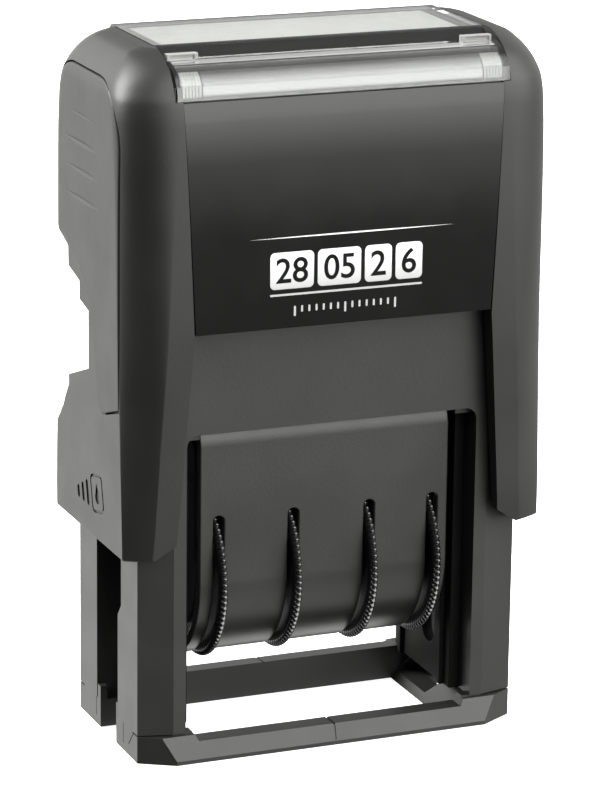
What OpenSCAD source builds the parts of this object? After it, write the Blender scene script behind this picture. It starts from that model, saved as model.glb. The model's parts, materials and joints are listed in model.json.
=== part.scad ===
// Self-inking rotary date stamp. Millimetres, +Z up, the front faces -Y.
// The origin is the middle of the foot's underside, on the paper.

/* [Foot and frame] */
// Width of the foot ring, left to right
foot_w = 50; // [48:0.5:52]
// Depth of the foot ring, front to back
foot_d = 26.2; // [25.8:0.1:26.6]
// Height of the clip-on foot ring at the corners
foot_h = 3.6; // [3.2:0.1:4]
// Half the width of the window between the legs
window_x = 19.1; // [18.9:0.1:19.3]
// Height of the frame's front posts and panel
frame_top = 59.6; // [57:0.2:59.8]

/* [Cap] */
// Half the width of the cap across its sides
cap_x = 27.5; // [27.3:0.1:28]
// Height of the top of the index window
cap_top = 88; // [87.8:0.1:89]
// Height of the lower edge of the cap's arms
cap_bottom = 26.6; // [26.4:0.1:28]

/* [Stroke and dater] */
// How far the cap goes down, which is also how far the dater's pivot goes down
stroke = 22.4; // [22:0.1:22.4]
// Distance from the dater's pivot to the printing face
face_r = 9.6; // [9.4:0.1:9.8]
// Half the width of the dater's shroud
shroud_x = 16.45; // [16.2:0.05:16.5]

/* [Date wheels] */
// Radius of a thumb wheel over its teeth
wheel_r = 11.3; // [10.8:0.1:11.4]
// Number of teeth on a thumb wheel
wheel_teeth = 90; // [60:1:100]
// Thickness of a thumb wheel
wheel_t = 1; // [0.9:0.05:1.1]

/* [Hidden] */
$fn = 64;

// Small distance by which a cutting shape runs past the solid it cuts
past = 0.5;

// The dater turns half a turn about this axis while it goes down by the stroke
pivot_y = -1.7;
pivot_z = stroke + face_r;
// The wheels' axle, under the pivot at rest
axle_y = -0.6;
axle_z = pivot_z - 10.8;
axle_r = 1.25;
pin_r = 1.5;
run_fit = 0.05;

// Legs: outer chamfer, front and back faces of the frame
leg_x = foot_w / 2;
leg_bevel_x = 20.7;
leg_bevel_y = 10.6;
frame_y = 11.7;
front_leg_in = -4.7;
rear_leg_in = 4.2;
rear_leg_top = 41.4;
window_top = 41.4;
window_corner = 1.5;
panel_t = 1.5;

// Cartridge bay between the inner side walls
wall_in = 18.3;
wall_out = 20.1;
rail_x = 16.9;
rail_bottom = 40.4;
rail_top = 41.5;
bay_top = 52.4;
deck_top = 54;

// Spring wells in the front posts
spring_x = 22.15;
spring_y = -8.2;
spring_r = 1.75;
spring_wire = 0.45;
spring_turns = 11;
well_r = 2.35;
well_floor = 38;

// Inner cam plates
plate_in = 17.7;
plate_y = 8.4;
plate_low = foot_h;
plate_rail_y = 6.7;
plate_top = 40.2;

// Cap: ceiling over the frame and the recess for the index window
ceiling_low = 82.8;
ceiling_high = 84.2;
cap_in_x = 25.7;
cap_in_y = 12.3;
tray_x = 21.5;
label_top_z = 82.5;
label_top_x = 20.7;
label_low_z = 54.65;
label_low_x = 19.3;
groove_disc_r = 60;
groove_depths = [0.18, 0.3, 0.3, 0.3];
groove_top_z = 78.6;
groove_pitch = 3.45;
groove_y = 1.4;
thumb_depth = 0.9;
arm_in_x = 21.2;
arm_in_z = 28.6;

// Push arms that carry the dater's pins
arm_x0 = 20.3;
arm_x1 = 24.1;
arm_y0 = -4.2;
arm_y1 = 3.7;
arm_low = pivot_z - 3.5;

// Bands run from each wheel's drum over the anvil
drum_r = 5;
band_gap = 0.15;
band_t = 0.75;
type_t = 0.6;
anvil_half = 3.1;
anvil_round = 1.2;
anvil_top = pivot_z + face_r - type_t - band_t - band_gap;
anvil_low = pivot_z + 1.9;
cheek_x0 = 15.3;

// Each wheel: [middle of its toothed disc, end of its drum]
wheels = [[-14, -5], [-4.2, 5.1], [5.9, 10.1], [14.4, 10.3]];

function mirrored_ends(a, b) = [min(a, b), max(a, b)];

// Draws its children on the left (-X) side or on the right side
module on_side(side) {
    if (side > 0) children();
    else mirror([1, 0, 0]) children();
}

// Extrudes an outline drawn as [y, z] along X from x0 to x1
module along_x(x0, x1) {
    translate([x0, 0, 0])
        rotate([90, 0, 90])
            linear_extrude(x1 - x0) children();
}

// Extrudes an outline drawn as [x, z] along Y from y0 to y1
module along_y(y0, y1) {
    translate([0, y1, 0])
        rotate([90, 0, 0])
            linear_extrude(y1 - y0) children();
}

module box(x0, x1, y0, y1, z0, z1) {
    translate([x0, y0, z0]) cube([x1 - x0, y1 - y0, z1 - z0]);
}

// ---------------------------------------------------------------- frame

module post_outline(side_y) {
    if (side_y < 0)
        polygon([[leg_x, -leg_bevel_y], [leg_bevel_x, -frame_y], [window_x, -frame_y],
            [window_x, front_leg_in], [leg_x, front_leg_in]]);
    else
        polygon([[leg_x, leg_bevel_y], [leg_bevel_x, frame_y], [window_x, frame_y],
            [window_x, rear_leg_in], [leg_x, rear_leg_in]]);
}

module frame_half() {
    rib_y = -3.5;
    rib_top = 17;
    rib_slope = 1.5;
    difference() {
        union() {
            translate([0, 0, foot_h]) linear_extrude(frame_top - foot_h) post_outline(-1);
            translate([0, 0, foot_h]) linear_extrude(rear_leg_top - foot_h) post_outline(1);
            // side wall of the cartridge bay and the rail under the cartridge
            box(wall_in, wall_out, -frame_y + panel_t, frame_y - 0.4, rail_bottom, deck_top);
            box(rail_x, wall_in, -frame_y + panel_t, frame_y - 0.4, rail_bottom, rail_top);
        }
        translate([spring_x, spring_y, well_floor]) cylinder(h = frame_top, r = well_r);
    }
    // stiffening rib on the outer edge of the front leg
    along_x(leg_x - 0.7, leg_x)
        polygon([[front_leg_in, foot_h], [rib_y, foot_h], [rib_y, rib_top],
            [front_leg_in, rib_top + rib_slope]]);
}

// Panel above the window, with a rounded corner where it meets each leg
module front_panel_outline() {
    corner_z = window_top - window_corner;
    translate([-leg_bevel_x, corner_z]) square([2 * leg_bevel_x, frame_top - corner_z]);
}

module window_head_outline() {
    corner_x = window_x - window_corner;
    corner_z = window_top - window_corner;
    translate([-window_x, corner_z - window_corner]) square([2 * window_x, window_corner]);
    translate([-corner_x, corner_z - past]) square([2 * corner_x, window_corner + past]);
    for (x = [-corner_x, corner_x]) translate([x, corner_z]) circle(window_corner);
}

module frame_body() {
    color([0.17, 0.17, 0.17]) {
        for (side = [-1, 1]) on_side(side) frame_half();
        difference() {
            along_y(-frame_y, -frame_y + panel_t) front_panel_outline();
            along_y(-frame_y - 1, -frame_y + panel_t + 1) window_head_outline();
        }
        // deck over the cartridge bay
        box(-wall_out, wall_out, -frame_y + panel_t, frame_y - 0.4, bay_top, deck_top);
    }
}

// Plate between the dater and the push arm: a slot guides the pivot pin straight down
module cam_plate() {
    slot_r = pin_r + 0.3;
    low = pivot_z - stroke;
    difference() {
        union() {
            box(plate_in, window_x, -plate_y, plate_y, plate_low, plate_top);
            // guide rails that the push arm's edges and the leg lean on
            for (y = [-plate_rail_y, plate_rail_y - 1])
                box(plate_in - 0.6, plate_in, y, y + 1, plate_low, plate_top);
        }
        translate([plate_in - past, pivot_y, 0]) {
            translate([0, 0, low]) rotate([0, 90, 0]) cylinder(h = 3, r = slot_r);
            translate([0, 0, pivot_z]) rotate([0, 90, 0]) cylinder(h = 3, r = slot_r);
            translate([0, -slot_r, low]) cube([3, 2 * slot_r, stroke]);
        }
    }
}

module cam_plate_left() {
    color([0.13, 0.13, 0.13]) on_side(-1) cam_plate();
}

module cam_plate_right() {
    color([0.13, 0.13, 0.13]) on_side(1) cam_plate();
}

module foot_outline(x, y) {
    bevel = foot_w / 2 - leg_bevel_x;
    polygon([[-x, -y + 2.5], [-x + bevel, -y], [x - bevel, -y], [x, -y + 2.5],
        [x, y - 2.5], [x - bevel, y], [-x + bevel, y], [-x, y - 2.5]]);
}

module foot_ring() {
    x = foot_w / 2;
    y = foot_d / 2;
    front_in = -9.9;
    rear_in = 6.8;
    open_x = 16.4;
    gap_half = 2.9;
    bar_top = 2.6;
    rear_top = 4.2;
    rear_out = 9.4;
    ridge_x = plate_in - 0.1;
    lean = 1;
    edge_h = 0.5;
    seam = 0.18;
    above = 5;
    // the marks sit just left and right of the middle
    front_mark_x = 0.28;
    rear_mark_x = -1.5;
    mark_half = 0.15;
    mark_deep = 0.15;
    color([0.2, 0.2, 0.2]) {
        difference() {
            union() {
                linear_extrude(foot_h - seam) foot_outline(x, y);
                // the legs stand on a smaller outline, which leaves a fine seam under them
                linear_extrude(foot_h) foot_outline(x, frame_y - 0.25);
                // ridge along the inner edge of the rear bar, between the rear legs
                along_x(-ridge_x, ridge_x)
                    polygon([[rear_in, 1], [rear_in, rear_top + 0.2], [rear_out, rear_top],
                        [rear_out, 1]]);
            }
            // window in which the date prints, with sloping ends
            along_y(front_in, rear_in)
                polygon([[-open_x, -past], [open_x, -past], [open_x, 0], [window_x, foot_h],
                    [window_x, above], [-window_x, above], [-window_x, foot_h], [-open_x, 0]]);
            // front and rear faces lean in above a thin edge
            for (back = [0, 1]) mirror([0, back, 0])
                along_x(-foot_w, foot_w) leaning_cut(y, lean, edge_h);
            // both bars are lower between the legs, the rear one behind its ridge
            for (span = [[-y - 1, front_in + past], [rear_out, y + 1]])
                along_y(span[0], span[1])
                    polygon([[-window_x + 0.2, above], [-ridge_x, bar_top], [ridge_x, bar_top],
                        [window_x - 0.2, above]]);
            // gap under the push arm on each side
            for (side = [-1, 1]) on_side(side) {
                box(20, x + 1, -gap_half, gap_half, -past, above);
                along_x(open_x - past, 21)
                    polygon([[4.1, above], [6.8, 1], [-2.3, 1], [-6.4, above]]);
            }
            foot_pad_discs(0.1);
            for (side = [-1, 1]) on_side(side) clip_lines(x);
            // centre mark for lining up the print, over the top and down the front
            box(front_mark_x - mark_half, front_mark_x + mark_half, -y - 1, front_in + 1,
                bar_top - mark_deep, above);
            along_x(front_mark_x - mark_half, front_mark_x + mark_half)
                leaning_cut(y - mark_deep, lean, edge_h + mark_deep);
            // its partner on the ridge of the rear bar
            box(rear_mark_x - mark_half, rear_mark_x + mark_half, rear_in - 1, rear_out + 1,
                rear_top - mark_deep / 2, above);
        }
        // clip tabs beside the gap, level with the outside of the legs
        for (side = [-1, 1]) on_side(side) {
            box(x - 0.9, x, -gap_half - 0.55, -gap_half, foot_h - 0.1, 5.4);
            box(x - 0.9, x, gap_half, gap_half + 1, foot_h - 0.1, 5.4);
        }
    }
}

// Outline, as [y, z], of what is cut away in front of the leaning face
module leaning_cut(y, lean, edge_h) {
    polygon([[-y - 1, edge_h], [-y, edge_h], [-y + lean, foot_h], [-y + lean, foot_h + 1],
        [-y - 1, foot_h + 1]]);
}

// Parting lines of the clip tabs, let into the ends of the ring
module clip_lines(x) {
    deep = 0.12;
    wide = 0.14;
    box(x - deep, x + 1, -5.6, -5.6 + wide, 0.9, foot_h + 1);
    box(x - deep, x + 1, 4.4, 4.4 + wide, 1.1, foot_h + 1);
    translate([x - deep, -9.25, foot_h - 0.2])
        rotate([-49, 0, 0]) cube([1, 2.6, wide]);
}

// Four discs near the corners of the foot: the pads, or with grow their pockets
module foot_pad_discs(grow) {
    for (side = [-1, 1]) on_side(side)
        for (y = [-7.6, 7.6])
            translate([20, y, -grow]) cylinder(h = 0.8 + grow, r = 1.6 + grow);
}

// Rubber pads let into the underside
module foot_pads() {
    color([0.06, 0.06, 0.06]) foot_pad_discs(0);
}

// ---------------------------------------------------------------- cap

// One level of the cap's outside: [z, half width, half depth, corner width, corner depth, bulge].
// A bulge of 1 makes the corner a flat bevel and 2 makes it a quarter ellipse.
cap_levels = [
    [cap_bottom, cap_x - 0.45, 13.3, 3.3, 1.6, 1.1],
    [cap_bottom + 0.4, cap_x, 13.8, 3.35, 1.65, 1.1],
    [41, cap_x + 0.07, 14.45, 4.2, 2.9, 1.2],
    [55, cap_x + 0.14, 14.8, 5.2, 4, 1.45],
    [66, cap_x + 0.19, 14.75, 5.8, 4.3, 1.65],
    [75, cap_x + 0.23, 14.55, 6.3, 4.6, 1.85],
    [80, cap_x + 0.25, 14.3, 6.6, 5.2, 2],
    [82.4, cap_x + 0.12, 14, 6.9, 5.6, 2.05],
    [84, cap_x - 0.3, 13.4, 6.8, 5.9, 2.05],
    [85.4, cap_x - 1.1, 12.6, 6.2, 5.6, 2],
    [86.6, cap_x - 2.1, 11.3, 5.4, 4.8, 1.9],
    [87.5, cap_x - 3.15, 9.7, 4.4, 4, 1.7],
    [cap_top, cap_x - 4.8, 8.6, 3.2, 3, 1.5]];

// Quarter of a level's outline, from the side round to the front or back
function cap_corner(l, steps = 9) = [for (i = [0 : steps])
    let (t = 90 * i / steps, p = 2 / l[5])
    [l[1] - l[3] * (1 - pow(cos(t), p)), l[2] - l[4] * (1 - pow(sin(t), p))]];

function cap_outline(l) = let (q = cap_corner(l), n = len(q) - 1) concat(
    q, [for (i = [n : -1 : 0]) [-q[i][0], q[i][1]]],
    [for (p = q) [-p[0], -p[1]]], [for (i = [n : -1 : 0]) [q[i][0], -q[i][1]]]);

module cap_outside() {
    thin = 0.01;
    hull()
        for (l = cap_levels)
            translate([0, 0, l[0] - (l[0] == cap_top ? thin : 0)])
                linear_extrude(thin) polygon(cap_outline(l));
}

module cap_inside() {
    bevel = 3.4;
    translate([0, 0, cap_bottom - past])
        linear_extrude(ceiling_low - cap_bottom + past)
            polygon([[-cap_in_x, -cap_in_y + 1.5], [-cap_in_x + bevel, -cap_in_y],
                [cap_in_x - bevel, -cap_in_y], [cap_in_x, -cap_in_y + 1.5],
                [cap_in_x, cap_in_y - 1.5], [cap_in_x - bevel, cap_in_y],
                [-cap_in_x + bevel, cap_in_y], [-cap_in_x, cap_in_y - 1.5]]);
}

// Opening below the label, between the two front arms
module front_gap_outline() {
    polygon([[-label_low_x, label_low_z], [label_low_x, label_low_z],
        [arm_in_x, arm_in_z], [24.2, cap_bottom], [24.2, 20], [-24.2, 20],
        [-24.2, cap_bottom], [-arm_in_x, arm_in_z]]);
}

// Rear edge of each side, stepped to let the ink cartridge out
module rear_notch_outline() {
    polygon([[13.1, 20], [13, cap_bottom + 0.4], [12.5, 36.8], [11.4, 38.4], [10.3, 39.5],
        [9.8, 40.4], [10, 41.5], [10, 44.3], [2.6, 46.9], [2.6, 54.2], [5.9, 54.9],
        [5.9, 57.2], [10, 58.2], [10.1, 60.6], [13.9, 62.6], [20, 62.6], [20, 20]]);
}

module cap_shell() {
    color([0.22, 0.22, 0.22])
        difference() {
            cap_outside();
            cap_inside();
            along_y(-16, -8) front_gap_outline();
            along_y(8, 16) front_gap_outline();
            // the rear centre is open to where the cartridge is when the cap is down
            box(-19.3, 19.3, 8, 16, 40, 76);
            along_x(-30, 30) rear_notch_outline();
            for (side = [-1, 1]) on_side(side) thumb_hollow();
            // seat of the index window
            box(-tray_x, tray_x, -16, 10.6, ceiling_high, 90);
            box(-tray_x, tray_x, -16, -13.2, label_top_z + 0.15, ceiling_high + past);
            // seat of the label
            along_y(-16, -13.3)
                polygon([[-label_top_x, ceiling_high + 1], [label_top_x, ceiling_high + 1],
                    [label_low_x, label_low_z - 1], [-label_low_x, label_low_z - 1]]);
            for (side = [-1, 1]) on_side(side) grip_blank(0.12);
        }
}

// The side is set back behind the grip panel's rear edge, down to where the skirt flares
module thumb_hollow() {
    along_x(cap_x - thumb_depth, cap_x + 2)
        polygon([[-6, 44], [3, 43.2], [8.6, 41.2], [16, 40], [16, 63.3], [-6, 63.3]]);
}

// Points along a cubic curve from p[0] to p[3]
function curve(p, steps) = [for (i = [0 : steps])
    let (t = i / steps, u = 1 - t)
    u * u * u * p[0] + 3 * u * u * t * p[1] + 3 * u * t * t * p[2] + t * t * t * p[3]];

// The panel's rear edge sweeps forward in a long S to make the thumb rest
module grip_outline(grow = 0) {
    front = -11.05 - grow;
    top = 84.2 + grow;
    rear = 11.2 + grow;
    polygon(concat(
        [[front, 45.2]],
        curve([[front, 76], [front, 80.5], [-8.6 - grow, top], [-3, top]], 8),
        curve([[6, top], [9.2, top], [rear, 82.4], [rear, 79.8]], 6),
        [[rear, 63.4]],
        curve([[rear - 0.6, 62.6], [5, 60.6], [0.3 + grow, 59.5], [-1.6 + grow, 53]], 8),
        curve([[-3.1 + grow, 46.6], [-3.3 + grow, 43.8], [-4, 43.3], [-5, 43.3]], 4)));
}

// The panel, or with grow its seat, which is deeper beside the ceiling where the cap rounds over
module grip_blank(grow = 0) {
    lip_low = 83;
    along_x(cap_x - 1.2, cap_x + 2) grip_outline(grow);
    along_x(cap_x - 2.4, cap_x)
        intersection() {
            grip_outline(grow);
            translate([-15, lip_low - grow]) square([30, 2]);
        }
}

module grip_panel() {
    difference() {
        intersection() {
            cap_outside();
            grip_blank();
        }
        // finger grooves, each cut by the sharp rim of a large disc
        for (i = [0 : len(groove_depths) - 1])
            let (z = groove_top_z - groove_pitch * i)
                translate([cap_half_width(z) - groove_depths[i] + groove_disc_r, groove_y, z])
                    groove_cutter();
    }
}

// Half the width of the cap at height z
function cap_half_width(z) = lookup(z, [for (l = cap_levels) [l[0], l[1]]]);

module groove_cutter() {
    rim = 2;
    above = 2.6 * rim;
    below = 1.1 * rim;
    rotate_extrude($fn = 180)
        polygon([[groove_disc_r, 0], [groove_disc_r - rim, above], [0, above],
            [0, -below], [groove_disc_r - rim, -below]]);
}

module grip_panel_left() {
    color([0.3, 0.3, 0.3]) on_side(-1) grip_panel();
}

module grip_panel_right() {
    color([0.3, 0.3, 0.3]) on_side(1) grip_panel();
}

module front_label() {
    gap = 0.1;
    color([0.05, 0.05, 0.05])
        intersection() {
            cap_outside();
            along_y(-16, -13.3 - 0.01)
                polygon([[-label_top_x + gap, label_top_z], [label_top_x - gap, label_top_z],
                    [label_low_x - gap, label_low_z], [-label_low_x + gap, label_low_z]]);
        }
}

module card_tray() {
    color([0.25, 0.25, 0.25])
        difference() {
            box(-20.6, 20.6, -9.6, 9.4, ceiling_high, 86.2);
            box(-19.5, 19.5, -5.2, 8.6, 85.7, 87);
            box(-19.5, 19.5, -9, -6.6, 85.2, 87);
        }
}

module index_card() {
    color([0.93, 0.93, 0.91]) box(-19.3, 19.3, -5, 8.4, 85.7, 86.1);
}

module window_cap() {
    color([0.85, 0.88, 0.9, 0.4])
        difference() {
            along_x(-21.3, 21.3)
                polygon([[-14.1, 82.75], [-13.8, 84.2], [-12.9, 85.5], [-11.6, 86.4], [-10.2, 86.9],
                    [-9.5, 86.7], [-9.2, 86.45], [-7.4, 86.6], [-6, 87.6], [-5.6, 88], [9.2, 88],
                    [10.4, 86.9], [10.4, ceiling_high + 0.05], [-13.3, ceiling_high + 0.05],
                    [-13.3, 82.75]]);
            along_x(-20.7, 20.7)
                polygon([[-13, ceiling_high - 0.5], [-12.8, 84.4], [-11.9, 85.3], [-10.4, 86],
                    [-9.7, 86.3], [9.6, 86.3], [9.6, ceiling_high - 0.5]]);
        }
}

module push_arm() {
    difference() {
        box(arm_x0, arm_x1, arm_y0, arm_y1, arm_low, ceiling_low);
        translate([arm_x0 - past, pivot_y, pivot_z])
            rotate([0, 90, 0]) cylinder(h = arm_x1 - arm_x0 + 1, r = pin_r + run_fit);
    }
}

module push_arm_left() {
    color([0.15, 0.15, 0.15]) on_side(-1) push_arm();
}

module push_arm_right() {
    color([0.15, 0.15, 0.15]) on_side(1) push_arm();
}

// ---------------------------------------------------------------- springs

function helix_point(t, z0, z1) = [spring_r * cos(360 * spring_turns * t),
    spring_r * sin(360 * spring_turns * t), z0 + (z1 - z0) * t];

// Coil of round wire: a ring of points is carried along the helix
module coil(z0, z1) {
    per_turn = 12;
    sides = 6;
    rings = spring_turns * per_turn;
    points = [for (i = [0 : rings], k = [0 : sides - 1])
        let (turn = 360 * i / per_turn, c = helix_point(i / rings, z0, z1),
            out = spring_wire * cos(360 * k / sides), up = spring_wire * sin(360 * k / sides))
        [c[0] + out * cos(turn), c[1] + out * sin(turn), c[2] + up]];
    walls = [for (i = [0 : rings - 1], k = [0 : sides - 1], half = [0, 1])
        let (a = i * sides + k, b = i * sides + (k + 1) % sides)
        half == 0 ? [a, a + sides, b + sides] : [a, b + sides, b]];
    low_end = [for (k = [1 : sides - 2]) [0, k, k + 1]];
    high_end = [for (k = [1 : sides - 2]) [for (j = [k + 1, k, 0]) rings * sides + j]];
    polyhedron(points, concat(walls, low_end, high_end));
}

module return_spring() {
    translate([spring_x, spring_y, 0])
        coil(well_floor + 1.1 * spring_wire, ceiling_low - 1.1 * spring_wire);
}

module return_spring_left() {
    color([0.7, 0.7, 0.72]) on_side(-1) return_spring();
}

module return_spring_right() {
    color([0.7, 0.7, 0.72]) on_side(1) return_spring();
}

// ---------------------------------------------------------------- ink cartridge

cartridge_x = wall_in - 0.3;
pad_x = 15.6;
pad_y0 = -8.6;
pad_y1 = 5.2;
pad_low = pivot_z + face_r + 0.2;

module ink_cartridge() {
    grip_y = 13.2;
    color([0.12, 0.12, 0.12])
        difference() {
            union() {
                box(-cartridge_x, cartridge_x, -9.8, 11.6, pad_low, bay_top - 0.4);
                // finger grip at the back
                box(-9, 9, 11.6, grip_y, 43.4, 50.8);
            }
            box(-pad_x, pad_x, pad_y0, pad_y1, pad_low - past, pad_low + 4);
            for (x = [-6 : 3 : 6])
                box(x - 0.6, x + 0.6, grip_y - 0.5, grip_y + 1, 44.4, 49.8);
        }
}

module ink_pad() {
    color([0.16, 0.1, 0.22]) box(-pad_x, pad_x, pad_y0, pad_y1, pad_low, pad_low + 4);
}

// ---------------------------------------------------------------- dater

module cheek() {
    difference() {
        union() {
            along_x(cheek_x0, shroud_x - 0.05) translate([axle_y, axle_z]) circle(7);
            along_x(cheek_x0, shroud_x - 0.05)
                polygon([[-7, axle_z], [-7, 38], [-5.5, 40], [3, 40], [6, 37], [axle_y + 7, axle_z]]);
        }
        translate([cheek_x0 - past, pivot_y, pivot_z])
            rotate([0, 90, 0]) cylinder(h = 3, r = pin_r);
        translate([cheek_x0 - past, axle_y, axle_z])
            rotate([0, 90, 0]) cylinder(h = 3, r = axle_r);
    }
}

module dater_cheek_left() {
    color([0.16, 0.16, 0.16]) on_side(-1) cheek();
}

module dater_cheek_right() {
    color([0.16, 0.16, 0.16]) on_side(1) cheek();
}

// Curved cover with one slot for each thumb wheel
module dater_shroud() {
    slot_half = 0.72;
    slot_top = 30.2;
    skin = 1.2;
    face_y = -9.3;
    face_top = 39.05;
    top = 40.7;
    bevel = 0.45;
    turn_y = 3.05;
    turn_z = 21.75;
    turn_r = turn_y - face_y;
    color([0.24, 0.24, 0.25])
        difference() {
            union() {
                along_x(-shroud_x, shroud_x)
                    polygon([[face_y, turn_z - 0.2], [face_y, face_top], [face_y + bevel, top],
                        [face_y + bevel + skin, top], [face_y + skin, face_top],
                        [face_y + skin, turn_z - 0.2]]);
                along_x(-shroud_x, shroud_x)
                    intersection() {
                        difference() {
                            translate([turn_y, turn_z]) circle(turn_r, $fn = 96);
                            translate([turn_y, turn_z]) circle(turn_r - skin, $fn = 96);
                        }
                        polygon([[face_y - 1, turn_z], [turn_y, turn_z], [-1.85, 6], [face_y - 1, 6]]);
                    }
            }
            // the slots have round upper ends
            for (w = wheels) {
                box(w[0] - slot_half, w[0] + slot_half, -11, 5, 5, slot_top - slot_half);
                translate([w[0], -5, slot_top - slot_half])
                    rotate([90, 0, 0]) cylinder(h = 6, r = slot_half);
            }
        }
}

module wheel_axle() {
    color([0.75, 0.75, 0.77])
        translate([-shroud_x + 0.05, axle_y, axle_z])
            rotate([0, 90, 0]) cylinder(h = 2 * shroud_x - 0.1, r = axle_r);
}

module trunnion_pins() {
    color([0.75, 0.75, 0.77])
        for (side = [-1, 1]) on_side(side)
            translate([cheek_x0, pivot_y, pivot_z])
                rotate([0, 90, 0]) cylinder(h = arm_x1 - cheek_x0 - 0.1, r = pin_r);
}

// Bridge under the bands at the printing face
module type_anvil() {
    r = anvil_round;
    color([0.3, 0.3, 0.32])
        along_x(-cheek_x0, cheek_x0) {
            translate([pivot_y - anvil_half, anvil_low])
                square([2 * anvil_half, anvil_top - r - anvil_low]);
            translate([pivot_y - anvil_half + r, anvil_low])
                square([2 * (anvil_half - r), anvil_top - anvil_low]);
            for (s = [-1, 1])
                translate([pivot_y + s * (anvil_half - r), anvil_top - r]) circle(r);
        }
}

module band_loop(grow) {
    hull() {
        translate([axle_y, axle_z]) circle(drum_r + band_gap + grow, $fn = 32);
        for (s = [-1, 1])
            translate([pivot_y + s * (anvil_half - anvil_round), anvil_top - anvil_round])
                circle(anvil_round + band_gap + grow, $fn = 24);
    }
}

// Endless rubber band with raised type, held between a drum and the anvil
module date_band(w) {
    near = w[0] < w[1] ? w[0] + wheel_t / 2 + 0.25 : w[0] - wheel_t / 2 - 0.25;
    span = mirrored_ends(near, w[0] < w[1] ? w[1] - 0.2 : w[1] + 0.1);
    color([0.1, 0.1, 0.1]) {
        along_x(span[0], span[1])
            difference() {
                band_loop(band_t);
                band_loop(0);
            }
        box(span[0] + 0.3, span[1] - 0.3, pivot_y - 2, pivot_y + 2, anvil_top + band_gap + band_t - 0.1,
            pivot_z + face_r);
    }
}

// Springy fingers that click between the teeth of the wheels
module detent_comb() {
    bar_y = 4.2;
    color([0.3, 0.3, 0.32]) {
        box(-cheek_x0, cheek_x0, bar_y, bar_y + 1.8, 36, 37.6);
        for (w = wheels)
            box(w[0] - 0.4, w[0] + 0.4, bar_y, bar_y + 0.8, 31.4, 36);
    }
}

module date_wheel(w) {
    s = w[0] < w[1] ? 1 : -1;
    tip = 0.45;
    drum = mirrored_ends(w[0], w[1]);
    color([0.2, 0.2, 0.2])
        difference() {
            union() {
                along_x(w[0] - wheel_t / 2, w[0] + wheel_t / 2)
                    translate([axle_y, axle_z])
                        polygon([for (i = [0 : 2 * wheel_teeth - 1])
                            let (a = 180 * i / wheel_teeth, r = wheel_r - (i % 2) * tip)
                            [r * cos(a), r * sin(a)]]);
                translate([drum[0], axle_y, axle_z])
                    rotate([0, 90, 0]) cylinder(h = drum[1] - drum[0], r = drum_r);
            }
            translate([drum[0] - 2, axle_y, axle_z])
                rotate([0, 90, 0]) cylinder(h = drum[1] - drum[0] + 4, r = axle_r + run_fit);
        }
}

frame_body();
cam_plate_left();
cam_plate_right();
foot_ring();
foot_pads();
cap_shell();
grip_panel_left();
grip_panel_right();
front_label();
card_tray();
index_card();
push_arm_left();
push_arm_right();
window_cap();
return_spring_left();
return_spring_right();
ink_cartridge();
ink_pad();
dater_cheek_left();
dater_cheek_right();
dater_shroud();
wheel_axle();
type_anvil();
detent_comb();
trunnion_pins();
date_band(wheels[0]);  // day_band
date_band(wheels[1]);  // month_band
date_band(wheels[2]);  // decade_band
date_band(wheels[3]);  // year_band
date_wheel(wheels[0]);  // day_wheel
date_wheel(wheels[1]);  // month_wheel
date_wheel(wheels[2]);  // decade_wheel
date_wheel(wheels[3]);  // year_wheel
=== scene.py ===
import bpy
import bmesh
import json
import math
from mathutils import Matrix


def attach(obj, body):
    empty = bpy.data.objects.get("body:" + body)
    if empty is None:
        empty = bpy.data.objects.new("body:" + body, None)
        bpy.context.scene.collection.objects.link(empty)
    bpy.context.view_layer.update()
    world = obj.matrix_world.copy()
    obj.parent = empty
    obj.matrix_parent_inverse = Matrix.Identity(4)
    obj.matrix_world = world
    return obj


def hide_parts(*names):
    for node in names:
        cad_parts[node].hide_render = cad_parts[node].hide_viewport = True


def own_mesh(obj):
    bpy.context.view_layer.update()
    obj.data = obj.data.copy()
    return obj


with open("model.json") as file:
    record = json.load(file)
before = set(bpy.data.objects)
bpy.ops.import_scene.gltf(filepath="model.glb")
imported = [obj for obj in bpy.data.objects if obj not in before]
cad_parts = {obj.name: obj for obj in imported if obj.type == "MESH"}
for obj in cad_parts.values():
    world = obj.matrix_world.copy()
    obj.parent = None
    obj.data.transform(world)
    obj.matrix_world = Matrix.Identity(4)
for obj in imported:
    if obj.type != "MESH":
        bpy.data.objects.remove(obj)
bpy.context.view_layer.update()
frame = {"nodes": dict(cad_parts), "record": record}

# Looks for the rotary date stamp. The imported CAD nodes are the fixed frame: about half of them keep their
# shape and get finishes and soft edges here, and pieces with finer surfaces stand in for the others.
# Lengths in this script are millimetres until make_object() turns them into metres.

nodes = frame["nodes"]
scene = bpy.context.scene
MM = 0.001


# ---------------- camera

# Where the camera stands, in metres, and its right, up and back directions
CAMERA_AT = (-0.174909, -0.425075, 0.171615)
CAMERA_RIGHT = (0.92583, -0.37775, 0.01217)
CAMERA_UP = (0.09240, 0.25745, 0.96186)
CAMERA_BACK = (-0.36647, -0.88940, 0.27326)
CAMERA_LENS = 172.94
CAMERA_SENSOR = 36.0


def add_camera():
    data = bpy.data.cameras.new("camera")
    data.lens = CAMERA_LENS
    data.sensor_fit = "VERTICAL"
    data.sensor_height = CAMERA_SENSOR
    data.clip_start = 0.01
    data.clip_end = 20.0
    camera = bpy.data.objects.new("camera", data)
    turn = Matrix((CAMERA_RIGHT, CAMERA_UP, CAMERA_BACK)).transposed()
    camera.matrix_world = Matrix.Translation(CAMERA_AT) @ turn.to_4x4()
    scene.collection.objects.link(camera)
    scene.camera = camera


add_camera()


# ---------------- light and floor

# The floor, in metres, lies a hair below the feet
FLOOR_SIZE = 8.0
FLOOR_DROP = 0.0001
# The card in the foot's opening, in millimetres
SHADOW_CARD_X = (-19, 19)
SHADOW_CARD_Y = (-10, -2)


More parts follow.
